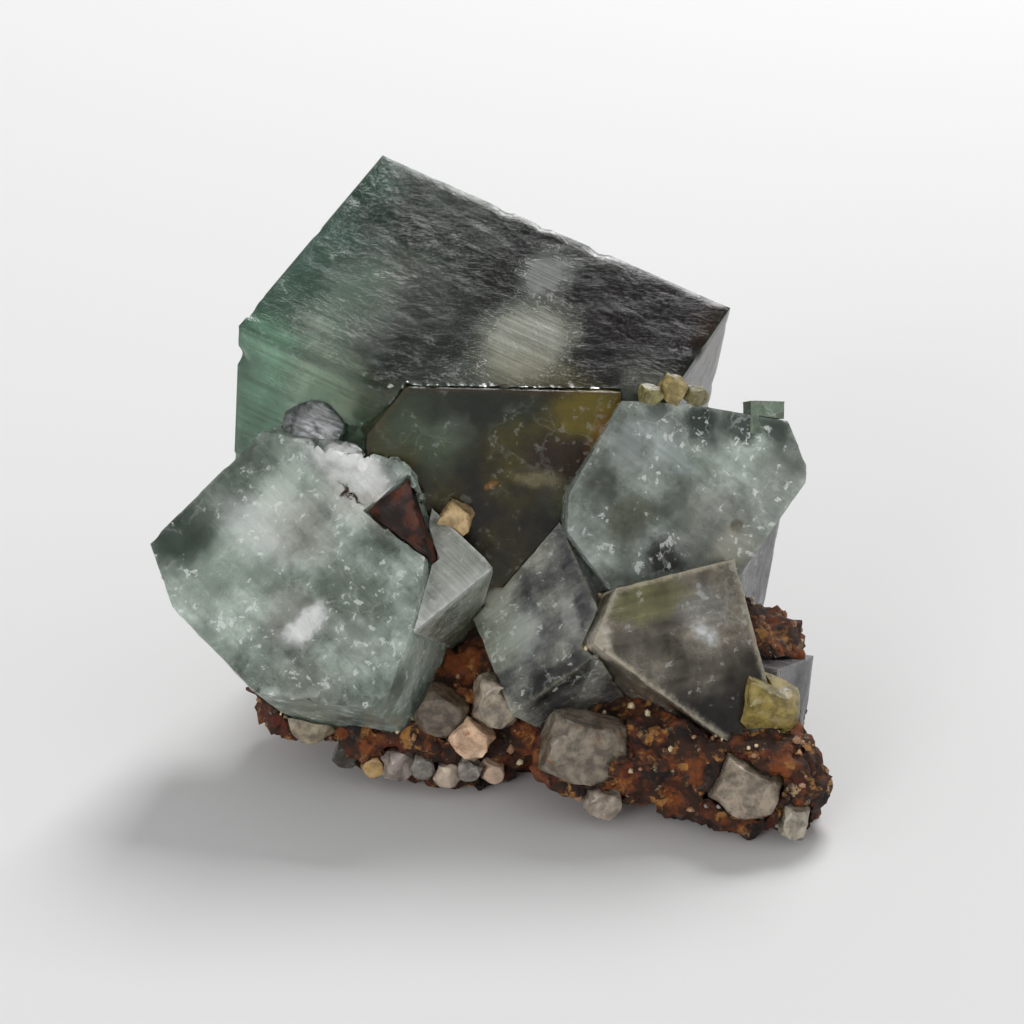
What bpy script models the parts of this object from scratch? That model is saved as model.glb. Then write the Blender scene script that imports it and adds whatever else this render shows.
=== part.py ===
"""Fluorite specimen: intergrown cubic crystals and loose-looking grains on a rusty ironstone matrix.

Each crystal is a cuboid in its own tilted frame. Chips are flat cleavage cuts: a chip names the corner
or edge that it takes off and how far it runs along each of the crystal's edges, like a Miller index.
A piece is cut by the pieces listed before it, grown by the clearance, and the matrix is cut by them all.
"""
from collections import namedtuple
from math import radians

import bmesh
import bpy
from mathutils import Euler, Matrix, Vector, noise

MM = 0.001
CLEARANCE = 0.3             # between pieces that touch, mm
FLOOR_LEVEL = 0.0           # height of the flat resting face, mm

MATRIX_VOXEL = 1.9          # facet size of the rough rock, mm
MATRIX_LUMPS = (2.2, 8.0)   # height and width of the rock's lumps, mm
MATRIX_GRIT = (0.8, 3.2)   # height and width of its grit, mm

# name, edge lengths, centre and tilt (mm, degrees), chips, colour, roughness
Crystal = namedtuple("Crystal", "name size centre tilt chips colour roughness")
# centre, half-lengths and turn (mm, degrees) of one blocky lump of the rock
Lobe = namedtuple("Lobe", "centre radii turn")

OLIVE = (0.075, 0.070, 0.022)
DEEP_GREEN = (0.060, 0.105, 0.085)
PALE_GREEN = (0.260, 0.320, 0.280)
SMOKY_GREY = (0.160, 0.170, 0.160)
WATER_CLEAR = (0.420, 0.410, 0.390)
STRIATED_GREY = (0.210, 0.205, 0.215)
HONEY = (0.480, 0.340, 0.110)
RUST = (0.120, 0.030, 0.014)
CREAM = (0.560, 0.430, 0.290)
LIMONITE = (0.130, 0.058, 0.026)

CRYSTALS = [
    Crystal("rust_seam", (7.6, 3, 4.3), (-9.3, -13.5, 24.0), (-42, 30, -38),
            [((1, 0, 1), (6, 0, 3)), ((-1, 0, 1), (1.6, 0, 12.9)), ((1, 0, -1), (7.5, 0, 0.9))],
            RUST, 0.85),
    Crystal("middle_cube", (21, 12, 17), (-3.1, -4.0, 24.9), (-5, 3, 5),
            [((-1, 0, 1), (3, 0, 4))], OLIVE, 0.15),
    Crystal("top_cube", (34.5, 24.7, 17.5), (-3.7, 2.6, 30.6), (25.3, 17.8, -22.2),
            [((1, -1, 1), (21.6, 12.8, 15.5))], DEEP_GREEN, 0.12),
    Crystal("left_cube", (24.4, 14, 22.2), (-15.5, -10.2, 16.7), (-42, 30, -38),
            [((-1, 0, -1), (5.6, 0, 2.4)), ((1, 0, -1), (8.2, 0, 5.9)), ((1, 0, 1), (12.6, 0, 8.4)),
             ((1, 0, 1), (9.4, 0, 12.8)), ((1, 0, 1), (7.1, 0, 14.5)), ((-1, -1, 1), (11, 7, 6.5)),
             ((-1, 0, 1), (8.5, 0, 5))], PALE_GREEN, 0.2),
    Crystal("left_corner_cube", (10.1, 15, 12.8), (-11.5, -11.7, 14.8), (-64, 32, -34),
            [((-1, 0, -1), (12.5, 0, 16.5))], PALE_GREEN, 0.2),
    Crystal("lower_right_cube", (13.6, 10, 14.5), (12.0, -16.0, 11.6), (-27, -7, 19),
            [((-1, 0, 1), (3, 0, 3.8)), ((-1, 0, -1), (9, 0, 10.5))], SMOKY_GREY, 0.12),
    Crystal("lower_middle_cube", (10.7, 11, 13.5), (4.2, -11.0, 12.5), (-47, -39, -8),
            [], SMOKY_GREY, 0.2),
    Crystal("right_cube", (20, 13, 16), (13.1, -5.6, 22.8), (-20, 5, 6),
            [((-1, 0, 1), (4.1, 0, 8)), ((-1, 0, -1), (4, 0, 5)), ((1, 0, 1), (10, 0, 1.2)),
             ((1, 0, 1), (2.2, 0, 4.6)), ((1, 0, -1), (6.5, 0, 10))], PALE_GREEN, 0.18),
    Crystal("right_rear_cube", (7, 9, 10), (17.4, -3, 17.5), (-12, 5, -25), [], STRIATED_GREY, 0.25),
    Crystal("side_cube", (5, 8, 8), (20.7, -13, 7), (-12, 0, -28), [], STRIATED_GREY, 0.25),
    Crystal("dark_cube", (5.2, 4.5, 5), (-17.6, -6.4, 29.4), (-20, 12, -12),
            [((-1, 0, 1), (2, 0, 1.5)), ((1, 0, 1), (1.8, 0, 1.3)), ((-1, -1, 0), (1.2, 1.2, 0))],
            STRIATED_GREY, 0.3),
    Crystal("ledge_cube", (2.7, 2.8, 2.6), (20.5, -7.4, 30.9), (-20, 4, 8), [], PALE_GREEN, 0.2),
]

# name, size, centre, tilt and colour of the small rounded grains
GRAINS = [
    ("yellow_lump", (4.6, 4, 4.4), (20.2, -19.6, 9.6), (10, 20, 15), HONEY),
    ("pale_fragment", (3.2, 3, 4.4), (-18.2, -13.4, 6.2), (0, -20, 0), WATER_CLEAR),
    ("grain_front", (6.4, 4.4, 5), (5.2, -21.4, 6.8), (0, 14, 8), WATER_CLEAR),
    ("grain_low", (2.7, 2.4, 2.2), (6.8, -22.2, 2.2), (0, 5, 10), WATER_CLEAR),
    ("grain_right", (5, 4, 3.8), (18.4, -25.3, 4.9), (0, 25, 0), WATER_CLEAR),
    ("grain_foot", (2, 2, 2.6), (22.4, -25.9, 2.1), (0, 10, 0), WATER_CLEAR),
    ("grain_edge", (1.9, 2.4, 2.2), (22, -23, 6.3), (0, 0, 20), CREAM),
    ("grain_notch", (2.4, 2.6, 3.4), (-5.8, -11.4, 23.0), (0, 35, 0), CREAM),
    ("crumb_gold_left", (1.8, 1.8, 1.4), (10.8, -9.8, 33.8), (0, 10, 20), HONEY),
    ("crumb_gold_middle", (2, 1.8, 2), (12.6, -9.2, 34), (0, 30, 0), HONEY),
    ("crumb_gold_right", (1.6, 1.8, 1.2), (14.6, -8.8, 33.4), (0, 0, 40), HONEY),
    ("lump_left", (4, 3.4, 3.4), (-6.9, -16, 7.7), (0, 30, 0), WATER_CLEAR),
    ("lump_right", (3.6, 3.4, 3.6), (-2.1, -15.8, 8.6), (0, 15, 10), WATER_CLEAR),
    ("lump_low", (3.2, 3, 2.8), (-4.3, -17.1, 5.8), (0, 40, 0), CREAM),
    ("druse_1", (1.9, 1.8, 1.9), (-15.1, -13.9, 2.7), (0, 20, 0), WATER_CLEAR),
    ("druse_2", (1.8, 1.8, 1.7), (-12.6, -14.9, 2.1), (0, 40, 0), CREAM),
    ("druse_3", (2.3, 2, 2.5), (-10.5, -15.9, 2.6), (0, 10, 30), WATER_CLEAR),
    ("druse_4", (1.8, 1.8, 1.6), (-8.4, -16.5, 2.8), (0, 25, 0), WATER_CLEAR),
    ("druse_5", (1.7, 1.8, 1.7), (-6.4, -16.7, 2.1), (0, 5, 45), CREAM),
    ("druse_6", (2, 1.8, 1.7), (-4.5, -16.5, 2.6), (0, 35, 0), WATER_CLEAR),
    ("druse_7", (1.7, 1.8, 1.6), (-2.5, -15.9, 2), (0, 15, 10), CREAM),
]
GRAIN_ROUNDING = 0.36       # how much of each edge a grain's worn corners take

LOBES = [
    Lobe((-17.4, -7, 5.6), (6.6, 7.5, 4), (0, 8, 20)),              # left tongue
    Lobe((-7, -8.2, 5), (10, 8.2, 5.6), (0, 0, 5)),                 # front mound
    Lobe((9.5, -16.5, 5.2), (8.8, 6.6, 3.4), (0, -6, -5)),          # raised front shelf
    Lobe((19.2, -19.8, 3.8), (5.8, 6.8, 4.8), (0, 10, 12)),         # front foot
    Lobe((19, -6, 6.2), (5.6, 8.5, 7), (0, -12, 5)),                # right flank
    Lobe((3, -1, 6), (17, 12, 8.5), (0, 0, 0)),                     # core
    Lobe((-10, 11, 9), (11, 9, 9.5), (18, 10, 30)),                 # rear left
    Lobe((9, 10, 9), (10, 8, 10), (-12, 14, -20)),                  # rear right
    Lobe((-4, 9, 16), (12, 6.5, 8), (25, 16, -22)),                 # saddle under the top cube
    Lobe((-1, 18, 4.5), (12, 5.5, 5), (0, 0, 8)),                   # rear foot
]
LOBE_SQUARENESS = 0.45      # 0 is an egg, 1 a box


def remove_old_objects():
    for old in list(bpy.data.objects):
        bpy.data.objects.remove(old, do_unlink=True)


def make_material(name, colour, roughness):
    material = bpy.data.materials.new(name)
    material.use_nodes = True
    shader = material.node_tree.nodes["Principled BSDF"]
    shader.inputs["Base Color"].default_value = (*colour, 1.0)
    shader.inputs["Roughness"].default_value = roughness
    material.diffuse_color = (*colour, 1.0)
    return material


def chip_plane(crystal, chip):
    """A chip's point and outward normal in the crystal's own axes, mm."""
    corner, reach = chip
    normal = Vector([sign / run if run else 0.0 for sign, run in zip(corner, reach)]).normalized()
    axis = next(i for i, run in enumerate(reach) if run)
    point = Vector([sign * length / 2 for sign, length in zip(corner, crystal.size)])
    point[axis] -= corner[axis] * reach[axis]
    return point, normal


def placement(centre, tilt):
    turn = Euler([radians(angle) for angle in tilt], "XYZ").to_matrix().to_4x4()
    return Matrix.Translation(centre) @ turn


def crystal_mesh(crystal, growth):
    """The chipped cuboid in metres, with each of its faces pushed out by growth."""
    shape = bmesh.new()
    bmesh.ops.create_cube(shape, size=1.0)
    bmesh.ops.scale(shape, verts=shape.verts, vec=Vector(crystal.size) + Vector((2, 2, 2)) * growth)
    for chip in crystal.chips:
        point, normal = chip_plane(crystal, chip)
        cut = bmesh.ops.bisect_plane(shape, geom=shape.verts[:] + shape.edges[:] + shape.faces[:],
                                     plane_co=point + normal * growth, plane_no=normal,
                                     clear_outer=True)
        rim = [item for item in cut["geom_cut"] if isinstance(item, bmesh.types.BMEdge)]
        bmesh.ops.edgeloop_fill(shape, edges=rim)
    place = Matrix.Scale(MM, 4) @ placement(crystal.centre, crystal.tilt)
    bmesh.ops.transform(shape, matrix=place, verts=shape.verts)
    bmesh.ops.recalc_face_normals(shape, faces=shape.faces)
    mesh = bpy.data.meshes.new(crystal.name)
    shape.to_mesh(mesh)
    shape.free()
    return mesh


def add_object(name, mesh):
    thing = bpy.data.objects.new(name, mesh)
    bpy.context.collection.objects.link(thing)
    return thing


def roughen(shape, height, width, offset):
    """Moves each vertex along its normal by smooth noise of a given height and width, mm."""
    for vertex in shape.verts:
        place = vertex.co / (width * MM) + Vector((offset, 0, 0))
        vertex.co += vertex.normal * noise.noise(place) * height * MM


def matrix_mesh():
    """The rock: overlapping lobes fused by voxels, roughened, and cut flat where it rests."""
    lump = bmesh.new()
    for lobe in LOBES:
        ball = bmesh.ops.create_icosphere(lump, subdivisions=3, radius=1.0)
        for vertex in ball["verts"]:
            box = vertex.co / max(abs(part) for part in vertex.co)
            vertex.co = vertex.co.lerp(box, LOBE_SQUARENESS)
        stretch = Matrix.Diagonal((*lobe.radii, 1.0))
        place = Matrix.Scale(MM, 4) @ placement(lobe.centre, lobe.turn) @ stretch
        bmesh.ops.transform(lump, matrix=place, verts=ball["verts"])
    rough = bpy.data.meshes.new("matrix_lobes")
    lump.to_mesh(rough)
    lump.free()
    rock = add_object("matrix_lobes", rough)
    fuse = rock.modifiers.new("fuse", "REMESH")
    fuse.mode = "VOXEL"
    fuse.voxel_size = MATRIX_VOXEL * MM
    mesh = evaluated_mesh(rock)
    bpy.data.objects.remove(rock, do_unlink=True)
    stone = bmesh.new()
    stone.from_mesh(mesh)
    for offset, (height, width) in enumerate((MATRIX_LUMPS, MATRIX_GRIT)):
        stone.normal_update()
        roughen(stone, height, width, 10.0 * offset)
    cut = bmesh.ops.bisect_plane(stone, geom=stone.verts[:] + stone.edges[:] + stone.faces[:],
                                 plane_co=(0, 0, FLOOR_LEVEL * MM), plane_no=(0, 0, -1), clear_outer=True)
    rim = [item for item in cut["geom_cut"] if isinstance(item, bmesh.types.BMEdge)]
    bmesh.ops.holes_fill(stone, edges=rim, sides=0)
    bmesh.ops.triangulate(stone, faces=stone.faces)
    stone.to_mesh(mesh)
    stone.free()
    return mesh


def evaluated_mesh(thing):
    graph = bpy.context.evaluated_depsgraph_get()
    graph.update()
    return bpy.data.meshes.new_from_object(thing.evaluated_get(graph))


def keep_largest_piece(mesh):
    """A cut can leave crumbs behind; only the body with the most faces stays."""
    shape = bmesh.new()
    shape.from_mesh(mesh)
    unseen = set(shape.verts)
    bodies = []
    while unseen:
        front = [unseen.pop()]
        body = set(front)
        while front:
            for edge in front.pop().link_edges:
                for vertex in edge.verts:
                    if vertex in unseen:
                        unseen.remove(vertex)
                        body.add(vertex)
                        front.append(vertex)
        bodies.append(body)
    bodies.sort(key=len)
    for body in bodies[:-1]:
        bmesh.ops.delete(shape, geom=list(body), context="VERTS")
    shape.to_mesh(mesh)
    shape.free()


def cut_by(thing, cutters):
    for cutter in cutters:
        cut = thing.modifiers.new("clear_" + cutter.name, "BOOLEAN")
        cut.operation = "DIFFERENCE"
        cut.solver = "EXACT"
        cut.object = cutter
    mesh = evaluated_mesh(thing)
    thing.modifiers.clear()
    thing.data = mesh
    keep_largest_piece(mesh)


def finish(thing, name, colour, roughness):
    thing.name = name
    thing.data.name = name
    thing.data.materials.clear()
    thing.data.materials.append(make_material(name + "_material", colour, roughness))


def grain_crystal(name, size, centre, tilt, colour):
    """A small crystal whose eight corners are worn away."""
    reach = [length * GRAIN_ROUNDING for length in size]
    corners = [(i, j, k) for i in (-1, 1) for j in (-1, 1) for k in (-1, 1)]
    return Crystal(name, size, centre, tilt, [(corner, reach) for corner in corners], colour, 0.3)


def main():
    remove_old_objects()
    cutters = []
    for crystal in CRYSTALS + [grain_crystal(*grain) for grain in GRAINS]:
        body = add_object(crystal.name, crystal_mesh(crystal, 0.0))
        cut_by(body, cutters)
        finish(body, crystal.name, crystal.colour, crystal.roughness)
        cutter = add_object(crystal.name + "_clearance", crystal_mesh(crystal, CLEARANCE))
        cutter.hide_render = True
        cutter.display_type = "WIRE"
        cutters.append(cutter)
    rock = add_object("matrix", matrix_mesh())
    cut_by(rock, cutters)
    finish(rock, "matrix", LIMONITE, 0.8)


main()
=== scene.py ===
"""Looks of a fluorite specimen: zoned cubic crystals, clear grains and rusty ironstone matrix.

Each crystal is grown again from its frame solid: it is sliced along its own edges into fine growth
lines, stepped, worn and chipped at its edges. Its colour zones, veils and flecks are solid patterns
in the crystal's own axes, so that they run through it as they do in the real stone. Painted glints,
painted sheen and painted edge light along its rims are drawn among these patterns.
"""

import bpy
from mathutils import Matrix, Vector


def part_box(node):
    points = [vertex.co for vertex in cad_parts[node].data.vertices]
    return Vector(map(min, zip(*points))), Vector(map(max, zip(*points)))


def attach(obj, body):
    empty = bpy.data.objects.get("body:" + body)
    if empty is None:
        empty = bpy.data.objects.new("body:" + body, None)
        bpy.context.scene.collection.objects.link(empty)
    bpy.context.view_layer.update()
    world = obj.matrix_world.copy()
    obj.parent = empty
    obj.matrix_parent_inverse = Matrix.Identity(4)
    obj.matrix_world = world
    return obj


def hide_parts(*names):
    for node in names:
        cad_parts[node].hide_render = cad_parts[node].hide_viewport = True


bl_info = {
    "name": "Fluorite Specimen",
    "version": (1, 0, 0),
    "blender": (4, 5, 0),
    "location": "View3D > Sidebar > Fluorite",
    "description": "Builds the crystals, grains, matrix and stage of a fluorite specimen",
    "category": "Add Mesh",
}

from collections import namedtuple
from itertools import permutations
from math import radians
from random import Random

import bmesh
import bpy
import numpy as np
from mathutils import Matrix, Vector, noise
from mathutils.bvhtree import BVHTree

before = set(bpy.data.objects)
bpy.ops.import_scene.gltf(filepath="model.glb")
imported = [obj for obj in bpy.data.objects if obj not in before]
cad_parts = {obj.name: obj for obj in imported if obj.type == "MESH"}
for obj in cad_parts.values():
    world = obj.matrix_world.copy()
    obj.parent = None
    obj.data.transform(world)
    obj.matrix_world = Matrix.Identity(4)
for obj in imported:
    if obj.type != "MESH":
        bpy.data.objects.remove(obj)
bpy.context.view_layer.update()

MM = 0.001
JOIN_DISTANCE = 0.002 * MM  # vertices of a frame solid nearer than this are one
FLAT_ANGLE = radians(0.6)   # faces of a frame solid within this angle are one flat face
SHARP_ANGLE = radians(15)   # faces that meet at more than this make an edge
CUT_DISTANCE = 0.0005 * MM  # a growth line this near a vertex goes through it
EDGE_REACH = 2.0            # how far from an edge its worn rim and painted edge light can show, mm
WEAR_WIDTH = 0.5            # width of the worn band along an edge, mm
CHIP_SIZE = 1.9             # distance between chips along an edge, mm
STEP_SIZE = 1.3             # width of the growth steps, mm
HILL_SIZE = 1.6             # width of the hillocks, mm
SHELL_SIZE = 2.2            # width of the shells in a broken place, mm
SMOOTH = {"interpolation_type": "SMOOTHSTEP"}
RGB = {"data_type": "RGBA"}
FLUORITE_IOR = 1.434
QUARTZ_IOR = 1.544
# colour of the painted glints that stand for light off cleavage flakes
PAINTED_GLINT_COLOUR = "f6faf6"
ROOM_COLOUR = "f2f2f2"

# lamps: place (m), side of the square (m), power (W)
LAMPS = {
    "key": ((0.25, 0.72, 0.95), 0.45, 9.4),
    "front": ((-0.45, -0.88, 0.28), 0.35, 3.0),
}

# A soft patch in a crystal: middle and half-lengths in the crystal's own axes (mm), colour, strength,
# and how far it breaks up into flecks.
Patch = namedtuple("Patch", "place radii colour strength flecks", defaults=(0.9, 0.0))

# A broken place on a crystal: middle and radius in its own axes, and how deep its steps go (mm).
Break = namedtuple("Break", "place radius depth")

# How one crystal looks. Lengths are mm. shade is the colour of its clear inside, milk its share of
# cloudy stone and grain the size of the clouds; streaks run along its long edge, streak_gap apart.
# clarity is how much light its clear stone lets through. relief, bumps, wear and chip are heights of
# its growth steps, hillocks, worn edges and chips. rim is the colour along its edges, worn stone and
# painted edge light together; cracks says how much its healed cracks show, and glints how much its
# painted glints, near-white cells for light off cleavage flakes, show.
Look = namedtuple(
    "Look",
    "shade milk grain streaks streak_gap clarity roughness relief bumps wear chip rim rim_strength"
    " rim_width cracks glints patches breaks",
    defaults=(0.5, 1.6, 0.2, 0.4, 0.7, 0.1, 0.05, 0.05, 0.10, 0.35, "bcc2b8", 0.5, 0.6, 0.3, 0.3,
              (), ()))

# the large green crystal: green at one end, smoky at the other, pale veils between
TOP = Look(
    shade="262a25", milk=0.30, grain=2.4, streaks=0.42, streak_gap=0.28, clarity=0.85, roughness=0.07,
    relief=0.03, bumps=0.02, chip=0.5, rim="1f3a38", rim_strength=0.75, rim_width=0.5, cracks=0.12,
    glints=0.12,
    patches=(
        Patch((-17, -4, 4), (6.5, 30, 18), "507360", 0.92),
        Patch((-9, -8.5, 10.7), (4, 7, 4), "a0b09f", 0.6),
        Patch((-4.5, 6, 10.7), (7, 8, 5), "3a4338", 0.85),
        Patch((2, 4, 9), (6, 9, 6), "1f211f", 0.8),
        Patch((15, 3, 9), (12, 15, 9), "0f0e0c", 0.95),
        Patch((19, 6, 9), (3, 4, 5), "4e3218", 0.7, 0.3),
        Patch((3.3, 4.2, 10.7), (2.8, 4, 3), "f0f6ee", 1.0, 0.6),
        Patch((5.6, -4, 10.7), (4.6, 6.5, 3), "f6f8e4", 1.0, 0.5),
        Patch((9, -7, 10), (7, 4, 3), "857d58", 0.8, 0.5),
        Patch((17, -3, 10.7), (4, 4, 3), "8b8d78", 0.8, 0.7),
        Patch((-13, -15.4, 0), (5, 4, 16), "8bbd9a", 0.9),
        Patch((-7, -15.4, 5), (5, 3.5, 8), "b4c9ac", 0.85),
        Patch((-2, -15.4, 8), (4, 3, 4), "6f775a", 0.7),
        Patch((3, 15.4, -3), (9, 4, 5), "5f8a73", 0.8),
        Patch((9, 15.4, 4), (6, 4, 4), "c3cfbd", 0.95, 0.75),
        Patch((-9, 15.4, -4), (6, 4, 6), "94b39c", 0.9, 0.6),
        Patch((12, 10, -10.7), (8, 7, 3), "4f6b58", 0.8, 0.4),
    ))

# the olive crystal: golden at one corner, brown below it, green at its other end
MIDDLE = Look(
    shade="1f1a04", milk=0.42, grain=1.8, streaks=0.15, streak_gap=0.5, clarity=0.72, roughness=0.06,
    relief=0.04, wear=0.05, chip=0.15, rim="5b3510", cracks=0.12, glints=0.14,
    patches=(
        Patch((-6, -6, 5), (5, 4, 5), "55664f", 0.9),
        Patch((-1, -6, 7.5), (6, 4, 3), "2b3527", 0.9),
        Patch((8, -6, 6.5), (4, 4, 4), "857512", 0.9, 0.3),
        Patch((6, -6, 3), (4, 4, 2.6), "2e1500", 0.95),
        Patch((9.5, -6, 3), (1.6, 4, 5), "8f5212", 0.9, 0.3),
        Patch((3.8, -6, 1.2), (2.6, 1.5, 1.2), "c4b98c", 1.0, 0.6),
        Patch((0, -6, 0.4), (0.8, 1, 0.6), "a8701c", 1.0),
        Patch((-3.4, -6, 5), (2.4, 1, 1.6), "b9c8bc", 1.0, 0.85),
        Patch((-8, -6, 1.5), (2.4, 3, 3), "625b22", 0.8),
        Patch((6, -6, -0.8), (2.6, 2, 1.8), "a9ae98", 1.0, 0.85),
    ))

# the pale left crystal: dark corners, painted glints on white flakes and a broken upper edge with painted
# sheen
LEFT = Look(
    shade="8a998c", milk=0.64, grain=1.3, streak_gap=0.5, clarity=0.80, roughness=0.12, relief=0.06,
    bumps=0.10, wear=0.12, chip=0.5, rim="dde2da", rim_strength=0.6, rim_width=0.4, cracks=0.4,
    glints=0.7,
    patches=(
        Patch((-9.6, -6.6, -4.6), (4.5, 4, 4), "34443a", 0.9),
        Patch((-8.6, -6.6, 3.2), (2.2, 4, 8), "6a776a", 0.7),
        Patch((-2, -6.6, 3), (5, 3, 3.4), "d9dcd2", 0.75),
        # painted sheen: the top of the face below the broken edge, painted pale where it faces the light
        Patch((-1, -6.6, 9), (6, 3, 3), "eeeee6", 0.9),
        Patch((6, -6.6, 2.2), (4.5, 4, 3), "616d58", 0.65),
        Patch((3.5, -6.6, -2.5), (3.4, 3, 2.8), "dcdfd6", 0.7),
        Patch((9, -6.6, -5.6), (4, 4, 3), "7d8270", 0.6),
        # painted highlights: white flecked patches for light off flakes and facet steps, and a painted
        # sheen band along the broken top
        Patch((-4.6, -6.6, 0.4), (5.5, 3, 2.2), "ffffff", 1.0, 0.55),
        Patch((4.8, -6.6, -2.4), (1.4, 2, 3), "ffffff", 1.0, 0.15),
        Patch((-3.6, -6.6, 10), (7, 3, 2.8), "ffffff", 1.0, 0.15),
        Patch((8.4, -6.6, -0.3), (3, 2, 2), "f0f5ee", 1.0, 0.7),
        Patch((-0.6, -6.6, 8), (1.8, 2, 0.25), "3d1a0c", 1.0),
        Patch((3, -6.6, 9), (3, 2, 1.6), "a08a55", 0.6, 0.5),
    ),
    breaks=(
        Break((-4.6, -6.6, 12.2), 6.0, 0.8),
        Break((4.4, -6.6, 11.2), 4.0, 0.5),
    ))

# the crystal grown through the left one
CORNER = Look(
    shade="7d8a76", milk=0.60, grain=1.2, streaks=0.3, streak_gap=0.35, clarity=0.6, relief=0.06,
    bumps=0.07, rim="f0f2ee", rim_strength=0.9, cracks=0.4, glints=0.5,
    patches=(
        Patch((0.1, 0.5, 6.9), (3.5, 4, 2), "d4dad2", 0.9, 0.4),
        Patch((1.7, -3, 6.9), (1.4, 6, 1.4), "f6f7f3", 1.0, 0.5),
        Patch((1.9, -5, 0.3), (3, 5, 5), "7c8470", 0.6),
        Patch((1.9, 1, -2.7), (2, 3, 4), "8a8f5c", 0.5),
    ))

# the pale right crystal: dark along its upper edge and smoky at its foot
RIGHT = Look(
    shade="7e877c", milk=0.55, grain=1.3, streak_gap=0.5, clarity=0.78, bumps=0.08, chip=0.4,
    rim="c4cbc4", rim_width=0.5, cracks=0.4, glints=0.7,
    patches=(
        Patch((-5.8, -6.4, 3.6), (2.4, 4, 1.7), "2c3a33", 0.95),
        Patch((-3.2, -6.4, 5.4), (2.4, 4, 1.8), "1f2c26", 0.97),
        Patch((-0.6, -6.4, 7.2), (2.4, 4, 1.8), "26332c", 0.95),
        Patch((2, -6.4, 9), (2.2, 4, 1.7), "34443a", 0.9),
        Patch((-5.4, -6.4, 1.5), (2.6, 3, 4), "b5bcb6", 0.7),
        Patch((-3.6, -6.4, -4.6), (2, 2, 3), "7c8068", 0.7),
        Patch((0.8, -6.4, -5.6), (2.6, 3, 2.1), "1d1a19", 0.95),
        Patch((3, -6.4, -1), (3.4, 3, 4), "ccd0c6", 0.75),
        Patch((-7.4, -6.4, 1.0), (1.6, 2, 3), "eef8fc", 1.0, 0.7),
        Patch((-4, -6.4, 2.0), (3.4, 2, 1.5), "e2f0f4", 1.0, 0.7),
        Patch((4.4, -6.4, 0.3), (0.7, 1, 0.9), "4a2809", 1.0),
        Patch((5.2, -6.4, -1.4), (2.4, 2, 3), "e6dec4", 1.0, 0.6),
        Patch((5, -6.4, 5), (1.8, 3, 6), "9a9f98", 0.7),
    ))

# the small block on the right crystal
LEDGE = Look(
    shade="45543f", grain=1.2, relief=0.02, bumps=0.02, wear=0.08, chip=0.2, rim="9aa18c")

# the smoky crystal that stands on a corner
LOWER_MIDDLE = Look(
    shade="63636a", milk=0.55, grain=1.2, streak_gap=0.5, clarity=0.65, roughness=0.07, relief=0.06,
    bumps=0.08, wear=0.12, chip=0.4, rim="b3b09c", cracks=0.4, glints=0.6,
    patches=(
        # painted glints: a flecked near-white patch of sparkle on the top face
        Patch((-1.2, -1, 5.2), (3, 3, 1.8), "f2faef", 1.0, 0.4),
        Patch((3.6, -2, 5.2), (1.1, 3.2, 1.2), "f2f2ea", 1.0, 0.6),
        Patch((-3.4, 0, 5.2), (3, 4, 2), "aab5a2", 0.8, 0.3),
        Patch((0, -6.8, 5.2), (4.5, 2.6, 2), "1f1c20", 0.9),
        Patch((-1.8, 3.4, 5.2), (2.8, 3, 2), "d2d6c4", 0.9, 0.2),
    ))

# the clear grey crystal with cream rims: worn stone and painted edge light
LOWER_RIGHT = Look(
    shade="4a4338", milk=0.42, grain=2.4, streaks=0.35, streak_gap=0.45, clarity=0.80, roughness=0.05,
    relief=0.04, wear=0.16, chip=0.45, rim="cfc6b0", rim_strength=0.75, rim_width=0.8, glints=0.4,
    patches=(
        # painted highlight: a small blue-white spot of reflected light on the front face
        Patch((1.8, -5.9, 0.9), (1.0, 1, 1.2), "f4fbff", 1.0, 0.3),
        Patch((1.6, -5.9, 3.2), (3, 1, 2), "b8c0c3", 0.9, 0.6),
        Patch((-2.5, -5.9, 4.7), (4.4, 3, 1.9), "b9b67e", 0.85),
        Patch((-7.4, -5.9, 2.5), (1.5, 3, 3), "f5ecd8", 1.0, 0.4),
        Patch((-0.5, -5.9, -6), (5, 3, 3), "1f1b18", 0.85),
    ))

# the grey crystals with fine growth lines
STRIATED = Look(
    shade="4e4c50", milk=0.35, grain=2.2, streaks=1.1, streak_gap=0.22, clarity=0.65, relief=0.10,
    bumps=0.04, chip=0.3, rim="c4c4c6", rim_width=0.5, glints=0.4)

# the small dark crystal
DARK = Look(
    shade="121716", milk=0.3, grain=1.5, streaks=1.2, streak_gap=0.25, clarity=0.3, roughness=0.12,
    relief=0.12, bumps=0.04, wear=0.08, chip=0.3, rim="4a5250", rim_width=0.5, cracks=0.2,
    patches=(
        Patch((1.5, -1, 1.5), (2.4, 2, 1.6), "efeff2", 1.0, 0.8),
    ))

# node: piece name, colour setting, look, material slot
CRYSTALS = {
    "top_cube": ("top_crystal", "top_colour", TOP, "fluorite_green"),
    "middle_cube": ("middle_crystal", "middle_colour", MIDDLE, "fluorite_olive"),
    "left_cube": ("left_crystal", "left_colour", LEFT, "fluorite_pale"),
    "left_corner_cube": ("left_corner_crystal", "corner_colour", CORNER, "fluorite_pale"),
    "right_cube": ("right_crystal", "right_colour", RIGHT, "fluorite_pale"),
    "ledge_cube": ("ledge_crystal", "ledge_colour", LEDGE, "fluorite_pale"),
    "lower_middle_cube": ("lower_middle_crystal", "lower_middle_colour", LOWER_MIDDLE,
                          "fluorite_smoky"),
    "lower_right_cube": ("lower_right_crystal", "lower_right_colour", LOWER_RIGHT, "fluorite_smoky"),
    "right_rear_cube": ("right_rear_crystal", "striated_colour", STRIATED, "fluorite_striated"),
    "side_cube": ("side_crystal", "striated_colour", STRIATED, "fluorite_striated"),
    "dark_cube": ("dark_crystal", "dark_colour", DARK, "fluorite_striated"),
}
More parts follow.
